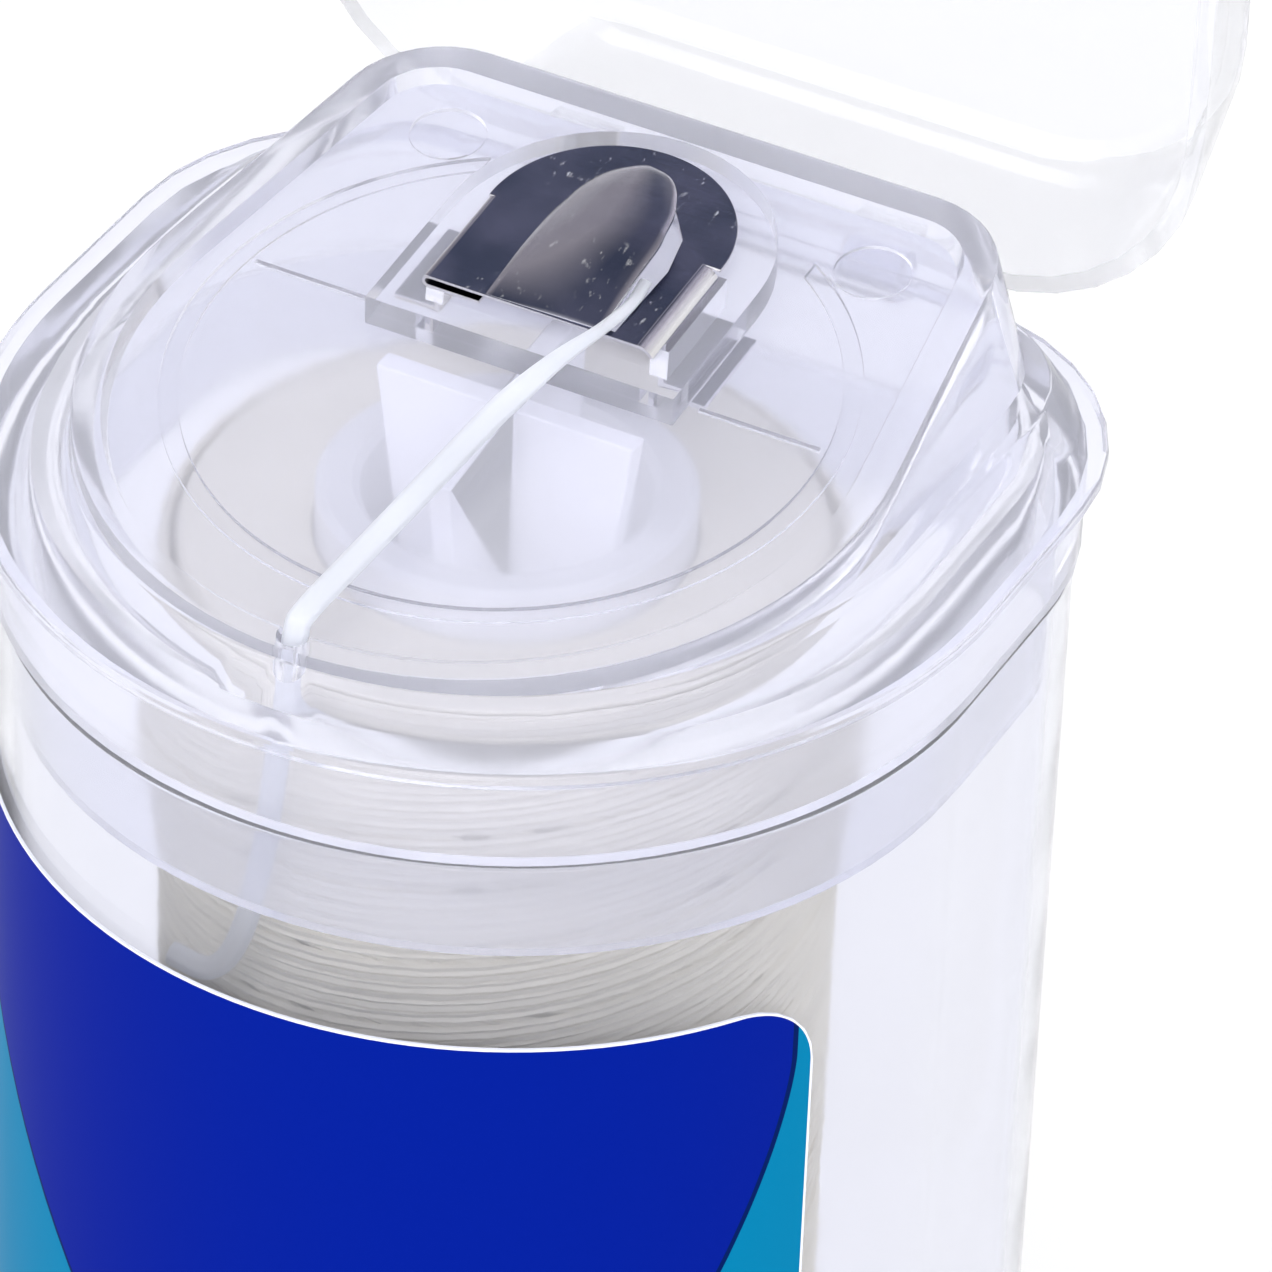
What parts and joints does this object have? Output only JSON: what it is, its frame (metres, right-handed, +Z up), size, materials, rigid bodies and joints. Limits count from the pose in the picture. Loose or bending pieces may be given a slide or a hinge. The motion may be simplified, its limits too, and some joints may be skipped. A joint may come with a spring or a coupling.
{
  "type": "dental floss dispenser",
  "caption": "Clear D-shaped container with a press-fit sloping deck, steel floss cutter and flip lid, holding a wound package of floss on a turning core.",
  "frame": {"origin": "on the spool axis, at the underside of the container", "axes": "+Z up along the spool axis, -Y out of the round front, +Y towards the hinge, X left to right seen from the front"},
  "size_m": [0.054, 0.0637, 0.118],
  "materials": {
    "clear_body": "clear, polished",
    "clear_closure": "clear, slightly milky",
    "clear_lid": "clear, polished",
    "steel": "stamped sheet, bright",
    "frosted_plastic": "frosted",
    "core_plastic": "translucent",
    "floss_inner": "waxed thread",
    "floss_outer": "waxed thread",
    "floss_line": "waxed thread",
    "label_blue": "printed film"
  },
  "bodies": {
    "dispenser": {"container_body": "clear_body", "closure_deck": "clear_closure", "cutter_plate": "steel", "spool_spindle": "frosted_plastic", "floss_strand": "floss_line", "front_label": "label_blue"},
    "lid": {"flip_lid": "clear_lid"},
    "spool": {"spool_core": "core_plastic", "floss_layers": "floss_inner", "floss_winding": "floss_outer"}
  },
  "joints": [
    {"name": "lid_hinge", "type": "hinge", "parent": "dispenser", "child": "lid", "pos_m": [0, 0.0236, 0.0684], "axis": [-1, 0, 0], "range_deg": [-90, 20]},
    {"name": "spool_spin", "type": "hinge", "parent": "dispenser", "child": "spool", "pos_m": [0, 0, 0.033], "axis": [0, 0, 1], "continuous": true}
  ]
}
